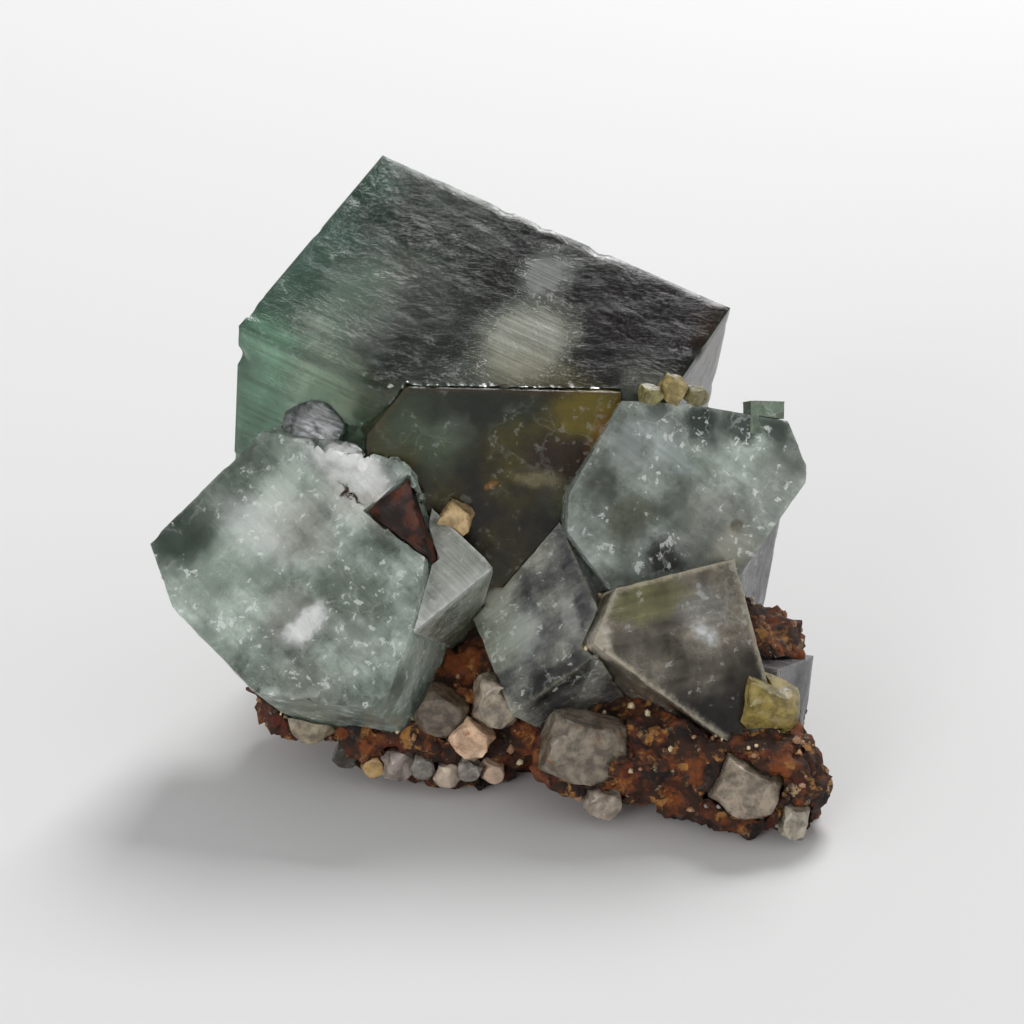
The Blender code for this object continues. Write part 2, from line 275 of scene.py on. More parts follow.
GREEN_CRYSTAL = ("top_cube",)
OLIVE_CRYSTAL = ("middle_cube",)
PALE_CRYSTALS = ("left_cube", "left_corner_cube", "right_cube", "ledge_cube")
SMOKY_CRYSTALS = ("lower_middle_cube", "lower_right_cube")
STRIATED_CRYSTALS = ("right_rear_cube", "side_cube", "dark_cube")


def linear(hex_code):
    """An sRGB hex colour as linear values."""
    parts = [int(hex_code[i:i + 2], 16) / 255 for i in (0, 2, 4)]
    return [part / 12.92 if part <= 0.04045 else ((part + 0.055) / 1.055) ** 2.4 for part in parts]


def rgba(hex_code):
    return (*linear(hex_code), 1.0)


def add_node(tree, kind, settings=None, inputs=None):
    """Adds a node with its settings; an input is a value or another node's socket."""
    node = tree.nodes.new("ShaderNode" + kind)
    for key, value in (settings or {}).items():
        setattr(node, key, value)
    for key, value in (inputs or {}).items():
        if isinstance(value, bpy.types.NodeSocket):
            tree.links.new(value, node.inputs[key])
        else:
            node.inputs[key].default_value = value
    return node


def new_material(name):
    """An empty material and its tree."""
    material = bpy.data.materials.new(name)
    material.use_nodes = True
    material.node_tree.nodes.clear()
    return material, material.node_tree


# ---------------------------------------------------------------- the crystals' axes and shape

def crystal_axes(mesh):
    """The crystal's three edge directions: the flat faces of a cuboid cover the most area along them."""
    mesh.calc_loop_triangles()
    normals = np.array([tri.normal for tri in mesh.loop_triangles])
    areas = np.array([tri.area for tri in mesh.loop_triangles])

    def covered(direction):
        return areas[np.abs(normals @ direction) > 0.9995].sum()

    first = max(normals, key=covered)
    sides = [normal for normal in normals if abs(normal @ first) < 0.02] or [np.cross(first, (0.3, 0.2, 1))]
    second = max(sides, key=lambda normal: covered(normal) + covered(np.cross(first, normal)))
    second = second - first * (second @ first)
    second /= np.linalg.norm(second)
    found = [first, second, np.cross(first, second)]
    order = max(permutations(found), key=lambda trio: sum(abs(trio[k][k]) for k in range(3)))
    return Matrix([Vector(axis * np.sign(axis[k])) for k, axis in enumerate(order)])


def joined_copy(node):
    """A bmesh of a frame solid with its loose triangles joined."""
    shape = bmesh.new()
    shape.from_mesh(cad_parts[node].data)
    bmesh.ops.remove_doubles(shape, verts=shape.verts, dist=JOIN_DISTANCE)
    return shape


def whole_copy(node):
    """A bmesh of a frame solid with its flat faces whole."""
    shape = joined_copy(node)
    bmesh.ops.dissolve_limit(shape, angle_limit=FLAT_ANGLE, verts=shape.verts, edges=shape.edges)
    return shape


def fine_copy(node, cuts):
    """A bmesh of a frame solid with each of its edges cut into cuts + 1 pieces."""
    shape = joined_copy(node)
    bmesh.ops.subdivide_edges(shape, edges=shape.edges, cuts=cuts, use_grid_fill=True)
    bmesh.ops.triangulate(shape, faces=shape.faces)
    return shape


def sharp_edges(shape):
    """The two ends of each edge between faces that meet at more than SHARP_ANGLE."""
    ends = [[tuple(vertex.co) for vertex in edge.verts] for edge in shape.edges
            if len(edge.link_faces) == 2 and edge.calc_face_angle(0.0) > SHARP_ANGLE]
    return np.array(ends)


def edge_distance(points, ends):
    """How far each point is from the nearest sharp edge."""
    nearest = np.full(len(points), 1.0)
    for start, stop in ends:
        along = stop - start
        share = np.clip((points - start) @ along / (along @ along), 0, 1)
        nearest = np.minimum(nearest, np.linalg.norm(points - start - share[:, None] * along, axis=1))
    return nearest


def slice_along(shape, axes, spacing, rng):
    """Cuts the faces along planes square to each axis, about one spacing apart: growth lines."""
    for axis in axes:
        reach = [vertex.co.dot(axis) for vertex in shape.verts]
        place = min(reach) + spacing * rng.uniform(0.4, 0.9)
        while place < max(reach) - 0.3 * spacing:
            bmesh.ops.bisect_plane(shape, geom=shape.verts[:] + shape.edges[:] + shape.faces[:],
                                   dist=CUT_DISTANCE, plane_co=axis * place, plane_no=axis)
            place += spacing * rng.uniform(0.75, 1.25)


def grow_crystal(node, look, sizes):
    """The crystal's mesh: growth steps, hillocks, worn edges and chips on its frame solid."""
    shape = whole_copy(node)
    axes = crystal_axes(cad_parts[node].data)
    low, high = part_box(node)
    centre = (low + high) / 2
    shape.normal_update()
    for vertex in shape.verts:
        vertex.co += vertex.normal * min(vertex.calc_shell_factor(), 1.8) * sizes.seam_fill
    ends = sharp_edges(shape)
    rng = Random(node)
    slice_along(shape, axes, min(sizes.growth_line, (high - low).length / 14), rng)
    shape.normal_update()
    offset = Vector((rng.uniform(0, 50), rng.uniform(0, 50), rng.uniform(0, 50)))
    points = np.array([vertex.co for vertex in shape.verts])
    distance = edge_distance(points, ends) / MM
    moves = []
    for vertex, reach in zip(shape.verts, distance):
        place = axes @ (vertex.co - centre) / MM
        edge = max(0.0, 1.0 - reach / WEAR_WIDTH)
        chipped = max(0.0, noise.noise(place / CHIP_SIZE + offset) - 0.22) * 2.4
        ragged = max(0.0, 1.0 - reach / (WEAR_WIDTH + chipped))
        step = noise.cell(place / STEP_SIZE + offset) * 0.4 + noise.noise(place / 4.5 + offset)
        steps = round(step * 3) / 3 * look.relief
        hill = noise.fractal(place / HILL_SIZE + offset, 0.7, 2.1, 4) * look.bumps
        inward = look.wear * edge + chipped * ragged * look.chip * 0.6
        for gap in look.breaks:
            share = max(0.0, 1.0 - (place - Vector(gap.place)).length / gap.radius)
            shell = abs(noise.noise(place / SHELL_SIZE + offset * 1.7)) * 2 + abs(noise.noise(place / 0.8))
            inward += gap.depth * min(1.0, 2.2 * share) * round(shell * 3) / 3
        moves.append(((steps + hill) * min(1.0, reach / 0.8) - inward) * MM)
    for vertex, move in zip(shape.verts, moves):
        vertex.co += vertex.normal * move
    bmesh.ops.triangulate(shape, faces=[face for face in shape.faces if len(face.verts) > 4])
    return shape, axes, centre, ends


def mesh_object(name, shape, material, nodes, smooth=30.0):
    """Turns a bmesh into a piece that stands for frame nodes."""
    mesh = bpy.data.meshes.new(name)
    shape.to_mesh(mesh)
    shape.free()
    mesh.shade_smooth()
    mesh.set_sharp_from_angle(angle=radians(smooth))
    mesh.materials.append(material)
    piece = bpy.data.objects.new(name, mesh)
    bpy.context.scene.collection.objects.link(piece)
    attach(piece, "root")
    if nodes:
        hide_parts(*nodes)
    return piece


def mark_edges(piece, ends):
    """Stores how near each vertex is to a sharp edge: 1 on it and 0 from EDGE_REACH away."""
    points = np.empty(len(piece.data.vertices) * 3)
    piece.data.vertices.foreach_get("co", points)
    near = np.clip(1.0 - edge_distance(points.reshape(-1, 3), ends) / (EDGE_REACH * MM), 0, 1)
    attribute = piece.data.attributes.new("edge_nearness", "FLOAT", "POINT")
    attribute.data.foreach_set("value", near.astype(np.float32))


# ---------------------------------------------------------------- the crystals' finish

def crystal_place(tree, axes, centre):
    """Object coordinates turned into mm along the crystal's edges, from its middle."""
    coords = add_node(tree, "TexCoord").outputs["Object"]
    return add_node(tree, "Mapping", {"vector_type": "POINT"},
                    {"Vector": coords, "Scale": (1 / MM, 1 / MM, 1 / MM), "Rotation": axes.to_euler(),
                     "Location": -(axes @ centre) / MM}).outputs["Vector"]


def wandering(tree, place, amount, size):
    """The place, pushed about by noise, so that zones get wispy outlines."""
    drift = add_node(tree, "TexNoise", None,
                     {"Vector": place, "Scale": 1 / size, "Detail": 5.0, "Roughness": 0.6})
    pushed = add_node(tree, "VectorMath", {"operation": "MULTIPLY_ADD"},
                      {0: drift.outputs["Color"], 1: (2 * amount,) * 3, 2: (-amount,) * 3})
    return add_node(tree, "VectorMath", {"operation": "ADD"},
                    {0: place, 1: pushed.outputs[0]}).outputs[0]


def patch_mask(tree, place, patch, flecks):
    """1 in the middle of the patch, 0 outside, broken up by flecks."""
    scale = [1 / radius for radius in patch.radii]
    local = add_node(tree, "Mapping", {"vector_type": "POINT"},
                     {"Vector": place, "Scale": scale,
                      "Location": [-at * by for at, by in zip(patch.place, scale)]})
    far = add_node(tree, "VectorMath", {"operation": "LENGTH"}, {0: local.outputs[0]})
    soft = add_node(tree, "MapRange", SMOOTH,
                    {"Value": far.outputs["Value"], "From Min": 1.15, "From Max": 0.4,
                     "To Min": 0.0, "To Max": patch.strength}).outputs[0]
    if not patch.flecks:
        return soft
    broken = add_node(tree, "MapRange", None,
                      {"Value": flecks, "To Min": 1.0 - patch.flecks, "To Max": 1.0}).outputs[0]
    return add_node(tree, "Math", {"operation": "MULTIPLY"}, {0: soft, 1: broken}).outputs[0]


def stretched_lines(tree, place, look):
    """Growth streaks: noise drawn out along the long edge, as a factor for the colour."""
    gap = look.streak_gap
    stretched = add_node(tree, "Mapping", {"vector_type": "POINT"},
                         {"Vector": place, "Scale": (0.06, 1 / gap, 0.7 / gap)}).outputs[0]
    lines = add_node(tree, "TexNoise", None,
                     {"Vector": stretched, "Scale": 1.0, "Detail": 4.0, "Roughness": 0.6})
    return add_node(tree, "MapRange", None,
                    {"Value": lines.outputs["Fac"], "From Min": 0.36, "From Max": 0.64,
                     "To Min": 1.0 - 0.6 * look.streaks, "To Max": 1.0 + 0.7 * look.streaks}).outputs[0]


def healed_cracks(tree, ragged, zones, look):
    """Thin crooked lines between cells, shown in some zones only."""
    cells = add_node(tree, "TexVoronoi", {"feature": "DISTANCE_TO_EDGE"},
                     {"Vector": ragged, "Scale": 0.3})
    thin = add_node(tree, "MapRange", SMOOTH,
                    {"Value": cells.outputs["Distance"], "From Min": 0.045, "From Max": 0.0}).outputs[0]
    shown = add_node(tree, "MapRange", SMOOTH,
                     {"Value": zones, "From Min": 0.45, "From Max": 0.6,
                      "To Min": 0.0, "To Max": look.cracks}).outputs[0]
    return add_node(tree, "Math", {"operation": "MULTIPLY"}, {0: thin, 1: shown}).outputs[0]


def painted_glint_cells(tree, drifting, wisps, hidden, look):
    """Painted glints: a few angular near-white cells for light off cleavage flakes, more of them in the
    wisps and in the cloudy stone.
    """
    cells = add_node(tree, "TexVoronoi", {"distance": "CHEBYCHEV"}, {"Vector": drifting, "Scale": 2.4})
    chosen = add_node(tree, "SeparateColor", None, {"Color": cells.outputs["Color"]}).outputs["Red"]
    crowd = add_node(tree, "Math", {"operation": "MULTIPLY_ADD"},
                     {0: wisps, 1: 1.2, 2: chosen}).outputs[0]
    crowd = add_node(tree, "Math", {"operation": "MULTIPLY_ADD"}, {0: hidden, 1: 0.3, 2: crowd}).outputs[0]
    return add_node(tree, "MapRange", None,
                    {"Value": crowd, "From Min": 1.66, "From Max": 1.72,
                     "To Min": 0.0, "To Max": look.glints}).outputs[0]


def worn_rim_and_painted_edge_light(tree, grain, look):
    """Worn stone along the edges together with painted edge light, the pale or dark line a glass edge
    shows; with a grainy outline.
    """
    near = add_node(tree, "Attribute", {"attribute_name": "edge_nearness"}).outputs["Fac"]
    worn = add_node(tree, "Math", {"operation": "MULTIPLY_ADD"}, {0: grain, 1: 0.5, 2: near}).outputs[0]
    start = 1.25 - look.rim_width / EDGE_REACH
    return add_node(tree, "MapRange", SMOOTH,
                    {"Value": worn, "From Min": start, "From Max": start + 0.35,
                     "To Min": 0.0, "To Max": look.rim_strength}).outputs[0]


def fluorite(name, body, veil, look, axes, centre):
    """Fluorite, natural growth faces: vitreous and glassy. Its clear inside looks dark and its cloudy
    zones pale; healed cracks show pale, painted glints stand for light off cleavage flakes, and the
    edges carry worn stone with painted edge light. Patterns are mm."""
    material, tree = new_material(name)
    place = crystal_place(tree, axes, centre)
    drifting = wandering(tree, place, 0.9, 2.6)
    ragged = wandering(tree, place, 1.3, 1.7)
    # cloudy stone: crisp wisps, denser in some zones than in others
    zones = add_node(tree, "TexNoise", None,
                     {"Vector": drifting, "Scale": 0.3 / look.grain, "Detail": 3.0,
                      "Roughness": 0.5}).outputs["Fac"]
    wisps = add_node(tree, "TexNoise", None,
                     {"Vector": drifting, "Scale": 1 / look.grain, "Detail": 8.0,
                      "Roughness": 0.72}).outputs["Fac"]
    denser = add_node(tree, "Math", {"operation": "MULTIPLY_ADD"}, {0: wisps, 1: 0.55, 2: zones}).outputs[0]
    level = 0.775 + 0.3 * (0.5 - look.milk)
    milk = add_node(tree, "MapRange", None,
                    {"Value": denser, "From Min": level - 0.19, "From Max": level + 0.19}).outputs[0]
    colour = add_node(tree, "Mix", RGB, {0: milk, 6: rgba(look.shade), 7: body}).outputs[2]
    hidden = add_node(tree, "Math", {"operation": "MULTIPLY"}, {0: milk, 1: 0.6}).outputs[0]
    # patches, some of them broken up where strands cross
    strands = add_node(tree, "TexNoise", {"noise_type": "RIDGED_MULTIFRACTAL"},
                       {"Vector": ragged, "Scale": 0.55, "Detail": 6.0, "Roughness": 0.6})
    flecks = add_node(tree, "MapRange", SMOOTH,
                      {"Value": strands.outputs["Fac"], "From Min": 0.5, "From Max": 1.15}).outputs[0]
    for patch in look.patches:
        mask = patch_mask(tree, ragged, patch, flecks)
        colour = add_node(tree, "Mix", RGB, {0: mask, 6: colour, 7: rgba(patch.colour)}).outputs[2]
        if patch.flecks:
            hidden = add_node(tree, "Math", {"operation": "MAXIMUM"}, {0: hidden, 1: mask}).outputs[0]
    colour = add_node(tree, "VectorMath", {"operation": "SCALE"},
                      {0: colour, "Scale": stretched_lines(tree, place, look)}).outputs[0]
    # healed cracks, painted glints and the rims of worn stone with painted edge light, each hiding the
    # clear stone behind it
    grain = add_node(tree, "TexNoise", None,
                     {"Vector": place, "Scale": 1.7, "Detail": 5.0, "Roughness": 0.7}).outputs["Fac"]
    bright = ((healed_cracks(tree, ragged, zones, look), veil),
              (painted_glint_cells(tree, drifting, wisps, hidden, look), rgba(PAINTED_GLINT_COLOUR)),
              (worn_rim_and_painted_edge_light(tree, grain, look), rgba(look.rim)))
    for mask, shown in bright:
        colour = add_node(tree, "Mix", RGB, {0: mask, 6: colour, 7: shown}).outputs[2]
        hidden = add_node(tree, "Math", {"operation": "MAXIMUM"}, {0: hidden, 1: mask}).outputs[0]
    clear = add_node(tree, "MapRange", None,
                     {"Value": hidden, "To Min": look.clarity, "To Max": 0.15}).outputs[0]
    rough = add_node(tree, "MapRange", None,
                     {"Value": wisps, "From Min": 0.3, "From Max": 0.7,
                      "To Min": look.roughness * 0.6, "To Max": look.roughness * 1.5}).outputs[0]
    bump = add_node(tree, "Bump", None,
                    {"Height": wisps, "Strength": 0.7, "Distance": 0.12 * MM}).outputs[0]
    shader = add_node(tree, "BsdfPrincipled", None,
                      {"Base Color": colour, "Roughness": rough, "Transmission Weight": clear,
                       "IOR": FLUORITE_IOR, "Normal": bump})
    add_node(tree, "OutputMaterial", None, {"Surface": shader.outputs[0]})
    return material


# ---------------------------------------------------------------- grains and rock

GRAIN_LOOKS = {
    # node: body, stain, how much of it is stained
    "yellow_lump": ("a39253", "c4ad78", 0.45), "pale_fragment": ("a89c84", "6b4a2c", 0.25),
    "grain_front": ("8d8272", "a8622e", 0.3), "grain_low": ("b5a798", "8d7f78", 0.2),
    "grain_right": ("9f917f", "7d5436", 0.3), "grain_foot": ("b2aa98", "8a7a62", 0.3),
    "grain_edge": ("b98c62", "8a5a34", 0.4), "grain_notch": ("b39a70", "7a4a22", 0.45),
    "crumb_gold_left": ("8d8556", "6b5a2c", 0.4), "crumb_gold_middle": ("a4935c", "6b5a2c", 0.4),
    "crumb_gold_right": ("97906a", "6b5a2c", 0.4), "lump_left": ("76695a", "8a7660", 0.35),
    "lump_right": ("b8ab98", "b08a68", 0.3), "lump_low": ("c4a488", "8a5230", 0.4),
    "druse_1": ("5a554c", "2c2824", 0.4), "druse_2": ("a88a5c", "6b4a2c", 0.4),
    "druse_3": ("b0a29a", "8a7264", 0.25), "druse_4": ("8d8880", "5c564e", 0.3),
    "druse_5": ("b9a998", "8a7264", 0.3), "druse_6": ("a8a098", "7a7068", 0.3),
    "druse_7": ("b8a08c", "8a6a4a", 0.35),
}
STONE_GRAINS = ("grain_edge", "grain_notch", "lump_low", "druse_2", "druse_5", "druse_7")


def place_in_mm(tree):
    """Object coordinates in mm."""
    coords = add_node(tree, "TexCoord").outputs["Object"]
    return add_node(tree, "Mapping", None,
                    {"Vector": coords, "Scale": (1 / MM, 1 / MM, 1 / MM)}).outputs[0]


def quartz_grain(name, body, stain, share, clarity):
    """A water-worn quartz grain: greasy and translucent, with milky clouds and a little iron stain."""
    material, tree = new_material(name)
    place = place_in_mm(tree)
    fine = add_node(tree, "TexNoise", None,
                    {"Vector": wandering(tree, place, 0.5, 1.2), "Scale": 0.9, "Detail": 7.0,
                     "Roughness": 0.62})
    dark, light = [tuple(part * by for part in linear(body)) + (1.0,) for by in (0.8, 1.45)]
    milk = add_node(tree, "MapRange", SMOOTH,
                    {"Value": fine.outputs["Fac"], "From Min": 0.32, "From Max": 0.66}).outputs[0]
    colour = add_node(tree, "Mix", RGB, {0: milk, 6: dark, 7: light}).outputs[2]
    clouds = add_node(tree, "TexNoise", None,
                      {"Vector": place, "Scale": 0.7, "Detail": 8.0, "Roughness": 0.75})
    stained = add_node(tree, "MapRange", SMOOTH,
                       {"Value": clouds.outputs["Fac"], "From Min": 0.68 - share * 0.4,
                        "From Max": 0.82 - share * 0.4, "To Min": 0.0, "To Max": 0.8}).outputs[0]
    colour = add_node(tree, "Mix", RGB, {0: stained, 6: colour, 7: rgba(stain)}).outputs[2]
    hidden = add_node(tree, "Math", {"operation": "MAXIMUM"}, {0: milk, 1: stained}).outputs[0]
    clear = add_node(tree, "MapRange", None,
                     {"Value": hidden, "To Min": clarity, "To Max": clarity * 0.5}).outputs[0]
    bump = add_node(tree, "Bump", None,
                    {"Height": fine.outputs["Fac"], "Strength": 0.8, "Distance": 0.15 * MM})
    shader = add_node(tree, "BsdfPrincipled", None,
                      {"Base Color": colour, "Roughness": 0.12, "Transmission Weight": clear,
                       "IOR": QUARTZ_IOR, "Normal": bump.outputs[0]})
    add_node(tree, "OutputMaterial", None, {"Surface": shader.outputs[0]})
    return material


def roughen(shape, waves, seed):
    """Moves the vertices along their normals by fractal noise: (width in mm, height in mm, octaves)."""
    for width, height, octaves in waves:
        shape.normal_update()
        offset = Vector((seed * 3.7, seed * 1.3, seed * 7.1))
        moves = [noise.fractal(vertex.co / (width * MM) + offset, 0.8, 2.0, octaves) * height * MM
                 for vertex in shape.verts]
        for vertex, move in zip(shape.verts, moves):
            vertex.co += vertex.normal * move


def ironstone(name, body):
    """Limonite and goethite matrix, crumbly and earthy: rust orange and ochre over dark brown, with
    cream quartz crumbs. Its grit is drawn at 0.4 mm and coarser, so that it shows."""
    material, tree = new_material(name)
    place = place_in_mm(tree)
    drifting = wandering(tree, place, 1.2, 2.0)
    colour = body
    layers = (("80431a", 0.30, 0.48, 0.60), ("a8763c", 0.55, 0.55, 0.63), ("1c120d", 0.42, 0.53, 0.62),
              ("5e2513", 0.36, 0.56, 0.66), ("b09877", 0.75, 0.63, 0.68), ("4c4a48", 0.65, 0.62, 0.70))
    for index, (hex_code, scale, low, high) in enumerate(layers):
        shifted = add_node(tree, "Mapping", None,
                           {"Vector": drifting, "Location": (index * 11.3, index * 5.1, 0)}).outputs[0]
        blotch = add_node(tree, "TexNoise", None,
                          {"Vector": shifted, "Scale": scale, "Detail": 6.0, "Roughness": 0.62})
        mask = add_node(tree, "MapRange", SMOOTH,
                        {"Value": blotch.outputs["Fac"], "From Min": low, "From Max": high}).outputs[0]
        colour = add_node(tree, "Mix", RGB, {0: mask, 6: colour, 7: rgba(hex_code)}).outputs[2]
    grit = add_node(tree, "TexNoise", None,
                    {"Vector": place, "Scale": 2.4, "Detail": 6.0, "Roughness": 0.75})
    lighter = add_node(tree, "MapRange", None,
                       {"Value": grit.outputs["Fac"], "From Min": 0.3, "From Max": 0.7,
                        "To Min": 0.45, "To Max": 1.5}).outputs[0]
    colour = add_node(tree, "VectorMath", {"operation": "SCALE"},
                      {0: colour, "Scale": lighter}).outputs[0]
    bump = add_node(tree, "Bump", None,
                    {"Height": grit.outputs["Fac"], "Strength": 0.9, "Distance": 0.25 * MM})
    rough = add_node(tree, "MapRange", None,
                     {"Value": grit.outputs["Fac"], "From Min": 0.3, "From Max": 0.6,
                      "To Min": 0.55, "To Max": 0.9}).outputs[0]
    shader = add_node(tree, "BsdfPrincipled", None,
                      {"Base Color": colour, "Roughness": rough, "Normal": bump.outputs[0]})
    add_node(tree, "OutputMaterial", None, {"Surface": shader.outputs[0]})
    return material


def rust(name):
    """Earthy hematite crust in a seam: dark red brown, brick red where it thins out."""
    material, tree = new_material(name)
    place = place_in_mm(tree)
    clouds = add_node(tree, "TexNoise", None,
                      {"Vector": place, "Scale": 0.5, "Detail": 6.0, "Roughness": 0.6})
    mask = add_node(tree, "MapRange", SMOOTH,
                    {"Value": clouds.outputs["Fac"], "From Min": 0.42, "From Max": 0.6}).outputs[0]
    colour = add_node(tree, "Mix", RGB, {0: mask, 6: rgba("1c0b05"), 7: rgba("552713")}).outputs[2]
    bump = add_node(tree, "Bump", None,
                    {"Height": clouds.outputs["Fac"], "Strength": 0.8, "Distance": 0.2 * MM})
    shader = add_node(tree, "BsdfPrincipled", None,
                      {"Base Color": colour, "Roughness": 0.6, "Normal": bump.outputs[0]})
    add_node(tree, "OutputMaterial", None, {"Surface": shader.outputs[0]})
    return material


# ---------------------------------------------------------------- crumbs

# crumbs on the matrix: name: (how many, size range (mm), seed, slot)
CRUMBS = {
    "rusty_crumbs": (420, (0.35, 0.95), 1, "ironstone"),
    "cream_crumbs": (130, (0.3, 0.8), 2, "cream_crumb"),
    "clear_crumbs": (90, (0.3, 0.7), 3, "clear_grain"),
}
# crusts along the seams: name: ((crystal that has the edge, its neighbour) pairs, spacing (mm),
# size range (mm), slot)
CRUSTS = {
    "cream_crust": ((("lower_right_cube", "lower_middle_cube"), ("lower_right_cube", "right_cube"),
                     ("lower_right_cube", "matrix"), ("left_cube", "matrix")),
                    0.35, (0.2, 0.55), "cream_crumb"),
    "rust_crust": ((("left_corner_cube", "lower_middle_cube"), ("left_corner_cube", "matrix"),
                    ("lower_middle_cube", "matrix"), ("middle_cube", "right_cube")),
                   0.35, (0.15, 0.45), "rust"),
    "honey_crust": ((("right_cube", "top_cube"), ("middle_cube", "right_cube")),
                    0.5, (0.2, 0.5), "honey_crumb"),
}


def solid_tree(*nodes):
    """A search tree over the frame solids of these nodes."""
    shape = bmesh.new()
    for node in nodes:
        shape.from_mesh(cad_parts[node].data)
    tree = BVHTree.FromBMesh(shape)
    shape.free()
    return tree


def add_crumb(shape, place, size, rng):
    """One angular crumb: a low icosphere with its corners pushed about and its axes squeezed."""
    made = bmesh.ops.create_icosphere(shape, subdivisions=1, radius=size / 2)["verts"]
    squeeze = Vector([rng.uniform(0.6, 1.15) for _ in range(3)])
    for vertex in made:
        vertex.co *= rng.uniform(0.75, 1.15)
        vertex.co = Vector([part * by for part, by in zip(vertex.co, squeeze)]) + place


def scatter(count, sizes, rng, surface, keep_clear):
    """Crumbs half sunk in a surface, over the floor and off the crystals."""
    surface.calc_loop_triangles()
    triangles = surface.loop_triangles
    weights = [tri.area for tri in triangles]
    shape = bmesh.new()
    for tri in rng.choices(triangles, weights, k=count):
        corners = [surface.vertices[index].co for index in tri.vertices]
        u, v = sorted((rng.random(), rng.random()))
        place = corners[0] * u + corners[1] * (v - u) + corners[2] * (1 - v)
        size = rng.uniform(*sizes) * MM
        clear = keep_clear.find_nearest(place)[3]
        if tri.normal.z > -0.6 and place.z > size and clear > size * 0.55:
            add_crumb(shape, place + tri.normal * size * 0.15, size, rng)
    return shape


def crust(pairs, spacing, sizes, rng):
    """Crumbs along the edges of one crystal where they run beside its neighbour."""
    shape = bmesh.new()
    for node, neighbour in pairs:
        beside = solid_tree(neighbour)
        edges = whole_copy(node)
        for start, stop in sharp_edges(edges):
            start, stop = Vector(start), Vector(stop)
            steps = int((stop - start).length / (spacing * MM))
            for step in range(steps):
                place = start.lerp(stop, (step + rng.random()) / max(steps, 1))
                size = rng.uniform(*sizes) * MM
                near = beside.find_nearest(place)
                if near[3] is not None and near[3] < 0.6 * MM and place.z > size and rng.random() < 0.75:
                    add_crumb(shape, place.lerp(near[0], 0.5), size, rng)
        edges.free()
    return shape


# ---------------------------------------------------------------- user settings

class FluoriteSizes(bpy.types.PropertyGroup):
    """Sizes of the surface detail."""
    growth_line: bpy.props.FloatProperty(
        name="Growth Line", description="Spacing of a crystal's growth lines", default=0.45 * MM,
        unit="LENGTH")
    seam_fill: bpy.props.FloatProperty(
        name="Seam Fill", description="How far each crystal grows into the gap round it",
        default=0.14 * MM, unit="LENGTH")
    seam_depth: bpy.props.FloatProperty(
        name="Seam Depth", description="How far the rust lies below the crystals' faces",
        default=0.5 * MM, unit="LENGTH")
    grain_wear: bpy.props.FloatProperty(
        name="Grain Wear", description="Depth of the pits on small grains", default=0.12 * MM,
        unit="LENGTH")


def colour_setting(name, description, hex_code):
    return bpy.props.FloatVectorProperty(name=name, description=description, subtype="COLOR",
                                         default=linear(hex_code), min=0.0, max=1.0)


class FluoriteColours(bpy.types.PropertyGroup):
    """Colours of the cloudy stone in each crystal, and of the veils, rock and rust."""
    top_colour: colour_setting("Top", "The large green crystal", "5c6158")
    middle_colour: colour_setting("Middle", "The olive crystal", "5c5417")
    left_colour: colour_setting("Left", "The pale left crystal", "cddbd0")
    corner_colour: colour_setting("Corner", "The crystal on its right corner", "d9dcd2")
    right_colour: colour_setting("Right", "The pale right crystal", "c4d0c6")
    ledge_colour: colour_setting("Ledge", "The small green block", "7d917e")
    lower_middle_colour: colour_setting("Lower Middle", "The smoky crystal", "c0c1b4")
    lower_right_colour: colour_setting("Lower Right", "The clear grey crystal", "b7ad9c")
    striated_colour: colour_setting("Striated", "The grey striated crystals", "b5b3b6")
    dark_colour: colour_setting("Dark", "The small dark crystal", "7d8484")
    veil_colour: colour_setting("Veils", "Healed cracks in every crystal", "dbe1d8")
    rock_colour: colour_setting("Rock", "The ironstone between its rust and ochre", "3a2013")


class FluoriteStage(bpy.types.PropertyGroup):
    """Camera, floor and lamps."""
    camera_place: bpy.props.FloatVectorProperty(
        name="Camera", description="Where the camera stands", default=(-0.0008, -0.248, 0.110),
        subtype="TRANSLATION")
    camera_pitch: bpy.props.FloatProperty(
        name="Camera Pitch", description="How far the camera looks down", default=radians(20),
        subtype="ANGLE")
    lens: bpy.props.FloatProperty(name="Lens", description="Focal length in mm", default=105.0)
    horizon: bpy.props.FloatProperty(
        name="Horizon Light", description="Strength of the room's light from the sides", default=0.86)
    zenith: bpy.props.FloatProperty(
        name="Overhead Light", description="Strength of the room's light from above", default=0.32)
    floor_colour: bpy.props.FloatVectorProperty(
        name="Floor Colour", description="Colour of the paper floor", default=linear("e6e6e6"),
        subtype="COLOR")


# ---------------------------------------------------------------- operators

def grow_crystals(context, nodes):
    """Grows these crystals and gives each its own fluorite."""
    sizes = context.scene.fluorite_sizes
    colours = context.scene.fluorite_colours
    for node in nodes:
        name, setting, look, slot = CRYSTALS[node]
        shape, axes, centre, ends = grow_crystal(node, look, sizes)
        material = fluorite("fluorite_" + name, (*getattr(colours, setting), 1.0),
                            (*colours.veil_colour, 1.0), look, axes, centre)
        mark_edges(mesh_object(name, shape, material, [node]), ends)
    return {"FINISHED"}


class FLUORITE_OT_green(bpy.types.Operator):
    """Grows the large green crystal on top"""
    bl_idname = "fluorite.green"
    bl_label = "Green Crystal"

    def execute(self, context):
        return grow_crystals(context, GREEN_CRYSTAL)


class FLUORITE_OT_olive(bpy.types.Operator):
    """Grows the olive crystal in the middle"""
    bl_idname = "fluorite.olive"
    bl_label = "Olive Crystal"

    def execute(self, context):
        return grow_crystals(context, OLIVE_CRYSTAL)


